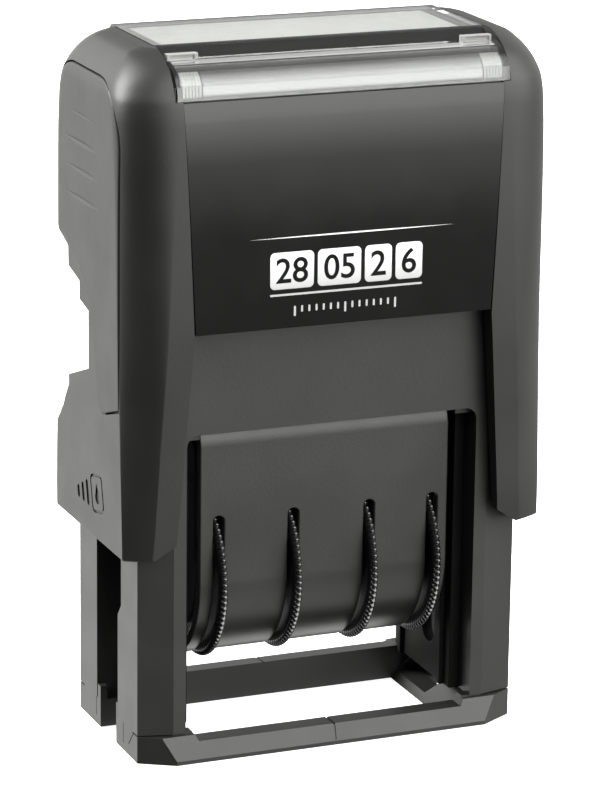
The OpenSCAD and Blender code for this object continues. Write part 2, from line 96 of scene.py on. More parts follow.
def toward(azimuth, elevation):
    """Unit direction: azimuth 0 is +X and 90 is +Y, elevation is above the horizon, in degrees."""
    a = math.radians(azimuth)
    e = math.radians(elevation)
    return (math.cos(a) * math.cos(e), math.sin(a) * math.cos(e), math.sin(e))


class Wiring:
    """Short calls for the nodes that the sky and the finishes are wired from."""

    def __init__(self, owner, coordinates):
        owner.use_nodes = True
        self.tree = owner.node_tree
        self.coordinates = self.add("ShaderNodeTexCoord").outputs[coordinates]

    def add(self, kind):
        return self.tree.nodes.new(kind)

    def link(self, out, into):
        self.tree.links.new(out, into)

    def height(self):
        split = self.add("ShaderNodeSeparateXYZ")
        self.link(self.coordinates, split.inputs["Vector"])
        return split.outputs["Z"]

    def ranged(self, out, start, end, low, high, curve="LINEAR"):
        """Goes from low to high while the output goes from start to end."""
        node = self.add("ShaderNodeMapRange")
        node.interpolation_type = curve
        self.link(out, node.inputs["Value"])
        names = ("From Min", "From Max", "To Min", "To Max")
        for name, value in zip(names, (start, end, low, high)):
            node.inputs[name].default_value = value
        return node.outputs["Result"]


class StudioSky(Wiring):
    """A studio painted on the sky: a dim room plus soft panels, each a disc of directions."""

    def __init__(self):
        self.world = bpy.data.worlds.new("studio")
        super().__init__(self.world, "Generated")

    def math(self, operation, a, b):
        node = self.add("ShaderNodeMath")
        node.operation = operation
        for socket, value in zip(node.inputs, (a, b)):
            if isinstance(value, (int, float)):
                socket.default_value = value
            else:
                self.link(value, socket)
        return node.outputs["Value"]

    def smooth(self, value, start, end, low, high):
        return self.ranged(value, start, end, low, high, "SMOOTHSTEP")

    def panel(self, azimuth, elevation, inner, outer, level):
        """Level inside the inner angle, falling smoothly to nothing at the outer angle."""
        dot = self.add("ShaderNodeVectorMath")
        dot.operation = "DOT_PRODUCT"
        self.link(self.coordinates, dot.inputs[0])
        dot.inputs[1].default_value = toward(azimuth, elevation)
        edge, core = math.cos(math.radians(outer)), math.cos(math.radians(inner))
        return self.smooth(dot.outputs["Value"], edge, core, 0.0, level)

    def flag(self, azimuth, elevation, inner, outer, share):
        """What is left of the light where a dark flag takes a share of it."""
        return self.math("SUBTRACT", 1.0, self.panel(azimuth, elevation, inner, outer, share))

    def finish(self, level):
        """Everything but the camera sees the panels; the camera sees plain white."""
        studio = self.tree.nodes["Background"]
        self.link(level, studio.inputs["Strength"])
        studio.inputs["Color"].default_value = (1.0, 1.0, 0.985, 1.0)
        white = self.add("ShaderNodeBackground")
        white.inputs["Color"].default_value = (1.0, 1.0, 1.0, 1.0)
        mix = self.add("ShaderNodeMixShader")
        self.link(self.add("ShaderNodeLightPath").outputs["Is Camera Ray"], mix.inputs["Fac"])
        self.link(studio.outputs["Background"], mix.inputs[1])
        self.link(white.outputs["Background"], mix.inputs[2])
        self.link(mix.outputs["Shader"], self.tree.nodes["World Output"].inputs["Surface"])
        scene.world = self.world
        scene.view_settings.view_transform = "Standard"


# How the room and the front panel fade with height: the two heights, then the levels there
ROOM_FADE = (-0.35, 0.15, 0.3, 0.9)
FRONT_FADE = (-0.23, -0.03, 0.0, 1.0)

# Soft panels: azimuth, elevation, inner angle and outer angle in degrees, then the level
FRONT_PANEL = (-60, 28, 25, 55, 4.4)
FILL_PANELS = [
    (115, -8, 25, 60, 0.96),  # back left
    (15, 0, 20, 60, 0.45),  # right
    (56, -50, 10, 24, 1.3),  # from the table, at the back
    (-56, -54, 12, 32, 0.8),  # from the table, in front
    (110, -40, 15, 40, 0.5),  # from the table, at the left
]
CORNER_PANELS = [(152, 25, 8, 22, 17.0), (146, 44, 6, 22, 9.0)]

# Dark flags: the same four angles, then the share of the light that they take
ROOM_FLAG = (228, -6, 30, 58, 0.95)
TOP_FLAGS = [(67.6, 16, 6, 18, 0.5), (88, 44, 6, 28, 0.6)]


def add_studio():
    sky = StudioSky()
    height = sky.height()
    front = sky.math("MULTIPLY", sky.panel(*FRONT_PANEL), sky.smooth(height, *FRONT_FADE))
    light = sky.math("ADD", sky.smooth(height, *ROOM_FADE), front)
    light = sky.math("MULTIPLY", light, sky.flag(*ROOM_FLAG))
    for panel in FILL_PANELS:
        light = sky.math("ADD", light, sky.panel(*panel))
    for flag in TOP_FLAGS:
        light = sky.math("MULTIPLY", light, sky.flag(*flag))
    for panel in CORNER_PANELS:
        light = sky.math("ADD", light, sky.panel(*panel))
    sky.finish(light)


def level_sheet(name, x, y, z, level):
    """A matt level rectangle in metres; gives the object and its shader."""
    mesh = bpy.data.meshes.new(name)
    corners = [(x[0], y[0], z), (x[1], y[0], z), (x[1], y[1], z), (x[0], y[1], z)]
    mesh.from_pydata(corners, [], [(0, 1, 2, 3)])
    sheet = bpy.data.objects.new(name, mesh)
    scene.collection.objects.link(sheet)
    material = bpy.data.materials.new(name)
    material.use_nodes = True
    shader = material.node_tree.nodes["Principled BSDF"]
    shader.inputs["Base Color"].default_value = (level, level, level, 1.0)
    shader.inputs["Specular IOR Level"].default_value = 0.0
    mesh.materials.append(material)
    return sheet, shader


def add_floor():
    span = (-FLOOR_SIZE / 2, FLOOR_SIZE / 2)
    floor, shader = level_sheet("floor", span, span, -FLOOR_DROP, 0.9)
    floor.visible_glossy = False
    floor.visible_diffuse = False
    shader.inputs["Roughness"].default_value = 0.9
    shader.inputs["Emission Color"].default_value = (1.0, 1.0, 1.0, 1.0)
    shader.inputs["Emission Strength"].default_value = 0.8


def add_shadow_card():
    """A black card in the foot's opening, which the camera, diffuse light and shadows don't see."""
    x, y = [(low * MM, high * MM) for low, high in (SHADOW_CARD_X, SHADOW_CARD_Y)]
    card, _ = level_sheet("shadow_card", x, y, -FLOOR_DROP / 2, 0.003)
    card.visible_camera = False
    card.visible_diffuse = False
    card.visible_shadow = False


add_studio()
add_floor()
add_shadow_card()


# ---------------- materials

joint_at = {joint["name"]: joint.get("pos_m") for joint in frame["record"]["behaviour"]["joints"]}

# The thumb wheels' axle and the dater's pivot, as (y, z) on lines along X
AXLE = tuple(c / MM for c in joint_at["day_set"][1:])
PIVOT = tuple(c / MM for c in joint_at["dater_flip"][1:])

# In metres: radii where a wheel's gloss sets in and the painted shade on its faces ends, and heights where
# the card flap's painted shade and the silver print fade
TOOTH_GLOSS_AND_SHADE = (0.0104, 0.0107)
FLAP_FADE = (0.0829, 0.0862)
PRINT_FADE = (0.0592, 0.0642)


class Shade(Wiring):
    """A material being wired from its own coordinates."""

    def __init__(self, name):
        self.material = bpy.data.materials.new(name)
        super().__init__(self.material, "Object")
        self.shader = self.tree.nodes["Principled BSDF"]

    def drive(self, name, out):
        """Wires an output into one of the shader's own sockets."""
        self.link(out, self.shader.inputs[name])

    def set(self, **values):
        for key, value in values.items():
            self.shader.inputs[key.replace("_", " ")].default_value = value

    def noise(self, scale, detail=2.0):
        texture = self.add("ShaderNodeTexNoise")
        texture.inputs["Scale"].default_value = scale
        texture.inputs["Detail"].default_value = detail
        self.link(self.coordinates, texture.inputs["Vector"])
        return texture.outputs["Fac"]

    def radius(self, centre):
        """Distance from a line along X through centre, in metres."""
        flatten = self.add("ShaderNodeVectorMath")
        flatten.operation = "MULTIPLY"
        flatten.inputs[1].default_value = (0.0, 1.0, 1.0)
        self.link(self.coordinates, flatten.inputs[0])
        distance = self.add("ShaderNodeVectorMath")
        distance.operation = "DISTANCE"
        distance.inputs[1].default_value = centre
        self.link(flatten.outputs["Vector"], distance.inputs[0])
        return distance.outputs["Value"]

    def spread(self, out, low, high, start=0.3, end=0.7):
        return self.ranged(out, start, end, low, high)

    def ramp(self, out, stops):
        node = self.add("ShaderNodeValToRGB")
        points = node.color_ramp.elements
        while len(points) < len(stops):
            points.new(0.5)
        for point, (place, colour) in zip(points, stops):
            point.position = place
            point.color = (*colour, 1.0)
        self.link(out, node.inputs["Fac"])
        return node.outputs["Color"]

    def bump(self, out, distance):
        node = self.add("ShaderNodeBump")
        node.inputs["Distance"].default_value = distance
        self.link(out, node.inputs["Height"])
        self.drive("Normal", node.outputs["Normal"])


def grey(level, blue=1.0):
    return (level, level, level * blue)


def moulded(name, dark, light, rough, grain=2600, depth=0.00001, specular=0.5):
    """Moulded plastic: faint cloudy colour, roughness that drifts, and a fine spark-eroded grain."""
    shade = Shade(name)
    colour = shade.ramp(shade.noise(90, 3.0), [(0.35, grey(dark, 0.97)), (0.65, grey(light, 0.97))])
    shade.drive("Base Color", colour)
    shade.drive("Roughness", shade.spread(shade.noise(160), rough - 0.03, rough + 0.03))
    shade.set(Specular_IOR_Level=specular)
    shade.bump(shade.noise(grain, 1.0), depth)
    return shade.material


def steel(name):
    """Bright drawn wire and ground pins."""
    shade = Shade(name)
    colour = shade.ramp(shade.noise(300), [(0.35, grey(0.5)), (0.65, grey(0.58))])
    shade.drive("Base Color", colour)
    shade.set(Metallic=1.0)
    shade.drive("Roughness", shade.spread(shade.noise(900), 0.22, 0.32))
    shade.bump(shade.noise(2200, 1.0), 0.000003)
    return shade.material


def toothed(name):
    """Thumb wheels: glossy teeth on a dull disc, whose faces get a low specular as painted shade for the
    dark slots around them.
    """
    shade = Shade(name)
    radius = shade.radius((0.0, AXLE[0] * MM, AXLE[1] * MM))
    colour = shade.ramp(shade.noise(200), [(0.35, grey(0.005)), (0.65, grey(0.008))])
    shade.drive("Base Color", colour)
    shade.drive("Roughness", shade.spread(radius, 0.5, 0.12, *TOOTH_GLOSS_AND_SHADE))
    # painted shade: inside the rim the faces barely reflect, standing in for the shade of the slots
    shade.drive("Specular IOR Level", shade.spread(radius, 0.08, 1.0, *TOOTH_GLOSS_AND_SHADE))
    shade.bump(shade.noise(2600, 1.0), 0.000002)
    return shade.material


def painted_shade_card(name):
    """Front flap of the card: pale at the foot, with painted shade that darkens it towards the top, where it
    curves away under the lens.
    """
    shade = Shade(name)
    fade = shade.spread(shade.height(), 0.0, 1.0, *FLAP_FADE)
    # painted shade: the tones darken from the flap's foot up to its top
    tones = [(0.03, 0.08), (0.12, 0.34), (0.34, 0.33), (0.6, 0.09), (1.0, 0.02)]
    shade.drive("Base Color", shade.ramp(fade, [(place, grey(level)) for place, level in tones]))
    shade.drive("Roughness", shade.spread(shade.noise(700), 0.55, 0.7))
    shade.bump(shade.noise(900, 1.0), 0.000004)
    return shade.material


def silver_print(name):
    """Printed silver, lighter towards the top of the label."""
    shade = Shade(name)
    fade = shade.spread(shade.height(), 0.0, 1.0, *PRINT_FADE)
    colour = shade.ramp(fade, [(0.0, grey(0.42)), (0.45, grey(0.62)), (0.7, grey(0.86)), (1.0, grey(0.9))])
    shade.drive("Base Color", colour)
    shade.drive("Roughness", shade.spread(shade.noise(400), 0.28, 0.36))
    shade.bump(shade.noise(3000, 1.0), 0.000001)
    return shade.material


def clear(name):
    """Clear plastic with a roughness that drifts a little."""
    shade = Shade(name)
    shade.set(Base_Color=(0.97, 0.98, 0.97, 1.0), Transmission_Weight=1.0, IOR=1.46)
    shade.drive("Roughness", shade.spread(shade.noise(300), 0.03, 0.07))
    shade.bump(shade.noise(500, 1.0), 0.000004)
    return shade.material


finishes = {
    "cap_plastic": moulded("cap_plastic", 0.011, 0.014, 0.42, specular=0.46),
    "grip_plastic": moulded("grip_plastic", 0.012, 0.015, 0.46, specular=0.46),
    "frame_plastic": moulded("frame_plastic", 0.014, 0.017, 0.40),
    "shroud_plastic": moulded("shroud_plastic", 0.017, 0.021, 0.33, specular=0.52),
    "dater_plastic": moulded("dater_plastic", 0.012, 0.015, 0.4),
    "wheel_plastic": toothed("wheel_plastic"),
    "cartridge_plastic": moulded("cartridge_plastic", 0.012, 0.015, 0.4),
    "label_gloss": moulded("label_gloss", 0.003, 0.004, 0.1, depth=0.0000004, specular=0.42),
    "card_paper": moulded("card_paper", 0.6, 0.64, 0.8, grain=900, depth=0.000004),
    "card_flap": painted_shade_card("card_flap"),
    "window_clear": clear("window_clear"),
    "window_frost": moulded("window_frost", 0.24, 0.32, 0.2, grain=1500, depth=0.000004),
    # painted shade: nearly black and barely reflecting, for the cam plates deep inside the frame
    "cam_plastic": moulded("cam_plastic", 0.004, 0.006, 0.6, specular=0.08),
    "band_rubber": moulded("band_rubber", 0.03, 0.035, 0.6),
    "pad_rubber": moulded("pad_rubber", 0.01, 0.012, 0.7),
    "ink_felt": moulded("ink_felt", 0.01, 0.015, 0.9),
    "bright_steel": steel("bright_steel"),
    "silver_print": silver_print("silver_print"),
}

# The record's finish for each CAD node
slot_of = {part["node"]: part["material_slot"] for part in frame["record"]["subparts"]}


# ---------------- outlines


def arc(centre, radius, start, end, steps):
    """Points on a circle, with angles in degrees."""
    turns = [math.radians(start + (end - start) * i / steps) for i in range(steps + 1)]
    return [(centre[0] + radius * math.cos(t), centre[1] + radius * math.sin(t)) for t in turns]


def bezier(p, steps):
    """Points along a cubic curve with these four control points."""
    points = []
    for i in range(steps + 1):
        t = i / steps
        u = 1 - t
        weights = (u * u * u, 3 * u * u * t, 3 * u * t * t, t * t * t)
        points.append(tuple(sum(w * q[k] for w, q in zip(weights, p)) for k in (0, 1)))
    return points


def rounded_box(half_a, half_b, radius, steps=6):
    """A rectangle with round corners, centred on its origin."""
    points = []
    for sign_a, sign_b, start in ((1, 1, 0), (-1, 1, 90), (-1, -1, 180), (1, -1, 270)):
        centre = (sign_a * (half_a - radius), sign_b * (half_b - radius))
        points += arc(centre, radius, start, start + 90, steps)
    return points


def four_quarters(quarter):
    """A whole outline from its corner in the first quarter, mirrored into the other three."""
    half = quarter + [(-x, y) for x, y in reversed(quarter)]
    return half + [(-x, -y) for x, y in half]


def turned(outline, centre, degrees):
    """An outline turned about its own origin and moved to a centre."""
    c, s = math.cos(math.radians(degrees)), math.sin(math.radians(degrees))
    return [(centre[0] + c * a - s * b, centre[1] + s * a + c * b) for a, b in outline]


def easing_slopes(xs, ys):
    """Slopes for a curve through the points that never overshoots them."""
    steps = [(ys[i + 1] - ys[i]) / (xs[i + 1] - xs[i]) for i in range(len(xs) - 1)]
    slopes = [steps[0]]
    for before, after in zip(steps, steps[1:]):
        slopes.append(0.0 if before * after <= 0 else 2 * before * after / (before + after))
    return slopes + [steps[-1]]


def refine(rows, steps):
    """More rows between the given ones, along a smooth curve through them."""
    way = [0.0]
    for a, b in zip(rows, rows[1:]):
        way.append(way[-1] + math.dist(a[:3], b[:3]))
    columns = list(zip(*rows))
    slopes = [easing_slopes(way, column) for column in columns]
    fine = []
    for i in range(len(rows) - 1):
        length = way[i + 1] - way[i]
        for k in range(steps):
            t = k / steps
            row = []
            for column, slope in zip(columns, slopes):
                row.append(
                    (1 + 2 * t) * (1 - t) ** 2 * column[i]
                    + t * (1 - t) ** 2 * length * slope[i]
                    + t * t * (3 - 2 * t) * column[i + 1]
                    - t * t * (1 - t) * length * slope[i + 1]
                )
            fine.append(tuple(row))
    return fine + [rows[-1]]


def rounded_path(points, steps):
    """A smooth curve through (y, z) points."""
    rows = [(0.0, y, z) for y, z in points]
    return [(y, z) for _, y, z in refine(rows, steps)]


# ---------------- mesh helpers


def make_object(name, points, faces):
    """A mesh object from points in millimetres, with its faces turned outward."""
    mesh = bpy.data.meshes.new(name)
    mesh.from_pydata([[c * MM for c in p] for p in points], [], faces)
    work = bmesh.new()
    work.from_mesh(mesh)
    bmesh.ops.recalc_face_normals(work, faces=work.faces)
    work.to_mesh(mesh)
    work.free()
    obj = bpy.data.objects.new(name, mesh)
    scene.collection.objects.link(obj)
    return obj


AXES = {
    "x": lambda a, b, t: (t, a, b),
    "y": lambda a, b, t: (a, t, b),
    "z": lambda a, b, t: (a, b, t),
}


def skin(rings, n, closed=False):
    """Faces between rings of n points: closed rings join up in a loop, open ones get an end face each."""
    faces = [] if closed else [tuple(range(n)), tuple(range((rings - 1) * n, rings * n))]
    for r in range(rings if closed else rings - 1):
        a, b = r * n, (r + 1) % rings * n
        faces += [(a + i, a + (i + 1) % n, b + (i + 1) % n, b + i) for i in range(n)]
    return faces


def loft(name, near, far, axis, low, high):
    """A solid along an axis, from an outline at its low end to one with as many points at its high end."""
    place = AXES[axis]
    points = [place(a, b, low) for a, b in near] + [place(a, b, high) for a, b in far]
    return make_object(name, points, skin(2, len(near)))


def prism(name, outline, axis, low, high):
    """An outline extruded along an axis: pairs are (y, z) along x, (x, z) along y, (x, y) along z."""
    return loft(name, outline, outline, axis, low, high)


def tube(name, outer, inner, axis, low, high):
    """A frame-shaped prism between two outlines with as many points each."""
    place = AXES[axis]
    n = len(outer)
    points = [place(a, b, t) for outline in (outer, inner) for t in (low, high) for a, b in outline]
    faces = []
    for i in range(n):
        j = (i + 1) % n
        for a, b in ((0, n), (2 * n, 3 * n), (0, 2 * n), (n, 3 * n)):
            faces.append((a + i, a + j, b + j, b + i))
    return make_object(name, points, faces)


def block(name, x, y, z):
    """A box between two x, two y and two z values."""
    return prism(name, [(x[0], y[0]), (x[1], y[0]), (x[1], y[1]), (x[0], y[1])], "z", *z)


def settle(obj):
    """Turns an object's modifiers into its mesh."""
    graph = bpy.context.evaluated_depsgraph_get()
    mesh = bpy.data.meshes.new_from_object(obj.evaluated_get(graph))
    obj.modifiers.clear()
    obj.data = mesh


def combine(target, tool, operation="DIFFERENCE"):
    """Cuts the tool out of the target, or does another boolean, and throws the tool away."""
    modifier = target.modifiers.new("cut", "BOOLEAN")
    modifier.operation = operation
    modifier.solver = "EXACT"
    modifier.object = tool
    settle(target)
    bpy.data.objects.remove(tool)
    return target


def smooth(obj, angle=30.0):
    """Smooth shading with the edges sharper than the angle kept crisp."""
    for face in obj.data.polygons:
        face.use_smooth = True
    obj.data.set_sharp_from_angle(angle=math.radians(angle))
    weighted = obj.modifiers.new("weighted", "WEIGHTED_NORMAL")
    weighted.keep_sharp = True


def soften(obj, width, angle=30.0, segments=2, clamp=True):
    """Rounds the sharp edges with modifiers alone, so the mesh itself stays as it was."""
    weld = obj.modifiers.new("weld", "WELD")
    weld.merge_threshold = 0.001 * MM
    flat = obj.modifiers.new("flat", "DECIMATE")
    flat.decimate_type = "DISSOLVE"
    flat.angle_limit = math.radians(0.5)
    bevel = obj.modifiers.new("bevel", "BEVEL")
    bevel.width = width * MM
    bevel.segments = segments
    bevel.limit_method = "ANGLE"
    bevel.angle_limit = math.radians(angle)
    bevel.use_clamp_overlap = clamp
    weighted = obj.modifiers.new("weighted", "WEIGHTED_NORMAL")
    weighted.keep_sharp = True


def add_piece(obj, body, slot, *stands_for, finish=None):
    """Gives a piece its finish, by default the one named by its slot, puts it on its body and hides the CAD
    nodes that it stands in for.
    """
    obj.data.materials.clear()
    obj.data.materials.append(finishes[finish or slot])
    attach(obj, body)
    if stands_for:
        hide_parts(*stands_for)
    return obj


# ---------------- cap

CAP_X = 27.5
CAP_TOP = 88.0
CAP_LOW = 26.6
# The ceiling under the index card
CEILING_LOW = 82.8
CEILING_HIGH = 84.2
# The seats for the index window, and for its lens at the front
TRAY_X = 21.5
TRAY_BACK = 10.6
LENS_SEAT_Y = -13.2
LENS_SEAT_LOW = 82.65
# The label's half width and height at its top and foot, and its seat
LABEL_TOP = (20.7, 82.5)
LABEL_LOW = (19.3, 54.65)
LABEL_SEAT_Y = -13.3
LABEL_SEAT_TOP = 85.2
LABEL_GAP = 0.14
# The opening at the back, which the cartridge slides out of
BACK_OPENING = ((-19.3, 19.3), (8, 16), (40, 76))
# Cutting tools end well past the cap's sides and its front and back
PAST_X = 30
PAST_Y = 16

# Two columns of the levels below
HALF_X, HALF_Y = 1, 2
# The cap's outside by height: height, half width, half depth, corner width, corner depth, bulge.
# A bulge of 1 makes the corner a flat bevel and 2 makes it a quarter ellipse.
CAP_LEVELS = [
    (CAP_LOW, 27.05, 13.3, 3.3, 1.6, 1.1),
    (27.0, 27.5, 13.8, 3.35, 1.65, 1.1),
    (41.0, 27.57, 14.45, 4.2, 2.9, 1.2),
    (55.0, 27.64, 14.8, 5.2, 4.0, 1.45),
    (66.0, 27.69, 14.75, 5.8, 4.3, 1.65),
    (75.0, 27.73, 14.55, 6.3, 4.6, 1.85),
    (80.0, 27.75, 14.3, 6.6, 5.2, 2.0),
    (82.4, 27.62, 14.0, 6.9, 5.6, 2.05),
    (84.0, 27.2, 13.4, 6.8, 5.9, 2.05),
    (85.4, 26.4, 12.6, 6.2, 5.6, 2.0),
    (86.6, 25.4, 11.3, 5.4, 4.8, 1.9),
    (87.5, 24.35, 9.7, 4.4, 4.0, 1.7),
    (CAP_TOP, 22.7, 8.6, 3.2, 3.0, 1.5),
]
CORNER_STEPS = 12
LEVEL_STEPS = 4
FINE_LEVELS = refine(CAP_LEVELS, LEVEL_STEPS)


def cap_ring(level):
    """One level's outline, from the right side round by the back, left and front."""
    z, half_x, half_y, corner_x, corner_y, bulge = level
    quarter = []
    for i in range(CORNER_STEPS + 1):
        t = math.pi / 2 * i / CORNER_STEPS
        power = 2 / bulge
        x = half_x - corner_x * (1 - math.cos(t) ** power)
        y = half_y - corner_y * (1 - math.sin(t) ** power)
        quarter.append((x, y))
    return [(x, y, z) for x, y in four_quarters(quarter)]


def cap_outside(name):
    """The cap as a solid form, closed at its foot and top."""
    rings = [cap_ring(level) for level in FINE_LEVELS]
    return make_object(name, [p for ring in rings for p in ring], skin(len(rings), len(rings[0])))


def level_at(z, column):
    """One value of the cap's levels at height z."""
    for low, high in zip(FINE_LEVELS, FINE_LEVELS[1:]):
        if low[0] <= z <= high[0]:
            t = (z - low[0]) / (high[0] - low[0])
            return low[column] + t * (high[column] - low[column])
    return FINE_LEVELS[-1][column]


def grip_outline(grow):
    """Side panel's outline as (y, z): its rear edge sweeps forward to make the thumb rest."""
    front, top, rear = -11.05 - grow, 84.2 + grow, 11.2 + grow
    points = [(front, 45.2 - grow)]
    points += bezier([(front, 76), (front, 80.5), (-8.6 - grow, top), (-3, top)], 16)
    points += bezier([(6, top), (9.2, top), (rear, 82.4), (rear, 79.8)], 10)
    points += [(rear, 63.4)]
    points += bezier([(rear - 0.6, 62.6), (5, 60.6), (0.3 + grow, 59.5), (-1.6 + grow, 53)], 14)
    points += bezier([(-3.1 + grow, 46.6), (-3.3 + grow, 43.8), (-4, 43.3 - grow), (-5, 43.3 - grow)], 8)
    return points


# The hollow behind each grip panel, as its floor's (y, z) outline. Points below THUMB_FOOT slope out to the
# skirt by THUMB_SLOPE for each unit of depth.
THUMB_FOOT = 50
THUMB_DEPTH = 0.9
THUMB_SLOPE = 3.2
THUMB_HOLLOW = [(-6, 44.4), (-2, 44.2), (3, 43.9), (8.6, 43.2), (16, 42.4), (16, 63.3), (-6, 63.3)]
# What is cut off the cap's rear edge, seen from the side
REAR_NOTCH = [
    (13.1, 20), (13, 27), (12.5, 36.8), (11.4, 38.4), (10.3, 39.5), (9.8, 40.4), (10, 41.5), (10, 44.3),
    (2.6, 46.9), (2.6, 54.2), (5.9, 54.9), (5.9, 57.2), (10, 58.2), (10.1, 60.6), (13.9, 62.6), (20, 62.6),
    (20, 20),
]
# What is cut out between the arms, seen from the front
FRONT_GAP = [
    (-19.3, 54.65), (19.3, 54.65), (21.2, 28.6), (24.2, 26.6), (24.2, 20), (-24.2, 20), (-24.2, 26.6),
    (-21.2, 28.6),
]
# The grip panels' seats are deeper from GRIP_LIP_LOW up, where the cap rounds over
GRIP_SEAT_DEPTH = 1.2
GRIP_SEAM = 0.2
GRIP_LIP_DEPTH = 2.4
GRIP_LIP_LOW = 83.0
# Where a panel's flat outer face stands before it is laid on the cap
GRIP_BLANK_X = CAP_X + 2


SIDES = {"left": -1, "right": 1}


def across(side, near, far):
    """The span between two distances from the middle, on the left or the right side."""
    return sorted((side * near, side * far))


def grip_blank(name, side, grow):
    """The panel with a flat outer face, or with grow the seat that is cut for it."""
    blank = prism(name, grip_outline(grow), "x", *across(side, CAP_X - GRIP_LIP_DEPTH, GRIP_BLANK_X))
    low, high = across(side, CAP_X - GRIP_LIP_DEPTH - 1, CAP_X - GRIP_SEAT_DEPTH)
    return combine(blank, block("backing", (low, high), (-20, 20), (30, GRIP_LIP_LOW - grow)))


def cap_cavity():
    """The hollow inside the cap, open at its foot, with bevelled corners."""
    x, y, bevel, corner = 25.7, 12.3, 3.4, 1.5
    outline = four_quarters([(x, y - corner), (x - bevel, y)])
    return prism("cavity", outline, "z", CAP_LOW - 1, CEILING_LOW)


# Where the mark on the left skirt stands, as (y, z), and how far it leans in degrees
EMBLEM_AT = (-3.2, 32.7)
EMBLEM_TILT = -13.0
EMBLEM_DEPTH = 0.14


def drop_outline(radius):
    """An ink drop: a circle drawn up to a point."""
    return arc((0, 0), radius, 140, 400, 20) + [(0, radius * 2.3)]


def engrave_emblem(cap):
    """An ink drop in a frame beside three bars, let into the left skirt."""
    low, high = -CAP_X - 1, -CAP_X + EMBLEM_DEPTH

    def cut(outline, offset):
        a, b = turned([offset], (0, 0), EMBLEM_TILT)[0]
        place = (EMBLEM_AT[0] + a, EMBLEM_AT[1] + b)
        return prism("engraving", turned(outline, place, EMBLEM_TILT), "x", low, high)

    sizes = ((2.2, 2.4, 0.9), (1.85, 2.05, 0.6))
    border = [turned(rounded_box(*size), EMBLEM_AT, EMBLEM_TILT) for size in sizes]
    combine(cap, tube("engraving", *border, "x", low, high))
    combine(cap, cut(drop_outline(0.8), (0, -0.5)))
    for i, half in enumerate((1.6, 1.2, 0.8)):
        combine(cap, cut(rounded_box(0.42, half, 0.4), (3.6 + 1.7 * i, 0)))


def build_cap():
    cap = cap_outside("cap_body")
    combine(cap, cap_cavity())
    for low, high in ((-PAST_Y, -8), (8, PAST_Y)):
        combine(cap, prism("gap", FRONT_GAP, "y", low, high))
    combine(cap, block("back", *BACK_OPENING))
    combine(cap, prism("notch", REAR_NOTCH, "x", -PAST_X, PAST_X))
    drop = 2 * THUMB_SLOPE * THUMB_DEPTH
    outside = [(y, z - drop if z < THUMB_FOOT else z) for y, z in THUMB_HOLLOW]
    for side in (-1, 1):
        ends = (THUMB_HOLLOW, outside) if side > 0 else (outside, THUMB_HOLLOW)
        span = across(side, CAP_X - THUMB_DEPTH, CAP_X + THUMB_DEPTH)
        combine(cap, loft("hollow", *ends, "x", *span))
        combine(cap, grip_blank("grip_seat", side, GRIP_SEAM))
    tray = (-TRAY_X, TRAY_X)
    combine(cap, block("window_seat", tray, (-PAST_Y, TRAY_BACK), (CEILING_HIGH, CAP_TOP + 2)))
    combine(cap, block("lens_seat", tray, (-PAST_Y, LENS_SEAT_Y), (LENS_SEAT_LOW, CEILING_HIGH + 0.5)))
    top_x, (low_x, low_z) = LABEL_TOP[0], LABEL_LOW
    seat = [(-top_x, LABEL_SEAT_TOP), (top_x, LABEL_SEAT_TOP), (low_x, low_z - 1), (-low_x, low_z - 1)]
    combine(cap, prism("label_seat", seat, "y", -PAST_Y, LABEL_SEAT_Y))
    engrave_emblem(cap)
    smooth(cap)
    add_piece(cap, "cap", "cap_plastic", "cap_shell")


def build_label():
    """Gloss plate cut from the cap's own outside, with a gap to its seat at both sides."""
    (top_x, top_z), (low_x, low_z) = LABEL_TOP, LABEL_LOW
    top, low = top_x - LABEL_GAP, low_x - LABEL_GAP
    outline = [(-top, top_z), (top, top_z), (low, low_z), (-low, low_z)]
    label = cap_outside("label_plate")
    combine(label, prism("face", outline, "y", -PAST_Y, LABEL_SEAT_Y - 0.01), "INTERSECT")
    smooth(label)
    add_piece(label, "cap", "label_gloss", "front_label")


# Finger grooves, as height and depth. A disc with a thin rim cuts them, with the middle of its cut at
# GROOVE_Y; its rim rises by GROOVE_ABOVE and falls by GROOVE_BELOW for each unit of distance from the edge.
GROOVES = [(78.6, 0.18), (75.15, 0.3), (71.7, 0.3), (68.25, 0.3)]
GROOVE_DISC = 60.0
GROOVE_Y = 1.4
GROOVE_RIM = 2.0
GROOVE_ABOVE = 2.6
GROOVE_BELOW = 1.1
GRIP_ROUND = 0.25
# Distances from the middle at which a panel is cut, so that it can follow the cap's rounded corner
GRIP_STRIPS = [7 + 0.35 * i for i in range(13)]


def groove_cutter(x, z, side):
    """A disc with a sharp rim, lying level; its rim reaches in to x."""
    steps = 720
    inner = GROOVE_DISC - GROOVE_RIM
    rings = [(inner, GROOVE_RIM * GROOVE_ABOVE), (GROOVE_DISC, 0), (inner, -GROOVE_RIM * GROOVE_BELOW)]
    points = []
    for radius, lift in rings:
        for i in range(steps):
            t = 2 * math.pi * i / steps
            reach = x + side * (GROOVE_DISC - radius * math.cos(t))
            points.append((reach, GROOVE_Y + radius * math.sin(t), z + lift))
    return make_object("groove", points, skin(len(rings), steps))


def round_rim(grip, side):
    """Rounds the edge of the blank's flat outer face."""
    work = bmesh.new()
    work.from_mesh(grip.data)
    weight = work.edges.layers.float.new("bevel_weight_edge")
    for edge in work.edges:
        if all(side * vert.co.x > (GRIP_BLANK_X - 0.01) * MM for vert in edge.verts):
            edge[weight] = 1.0
    work.to_mesh(grip.data)
    work.free()
    bevel = grip.modifiers.new("bevel", "BEVEL")
    bevel.width = GRIP_ROUND * MM
    bevel.segments = 3
    bevel.limit_method = "WEIGHT"
    settle(grip)


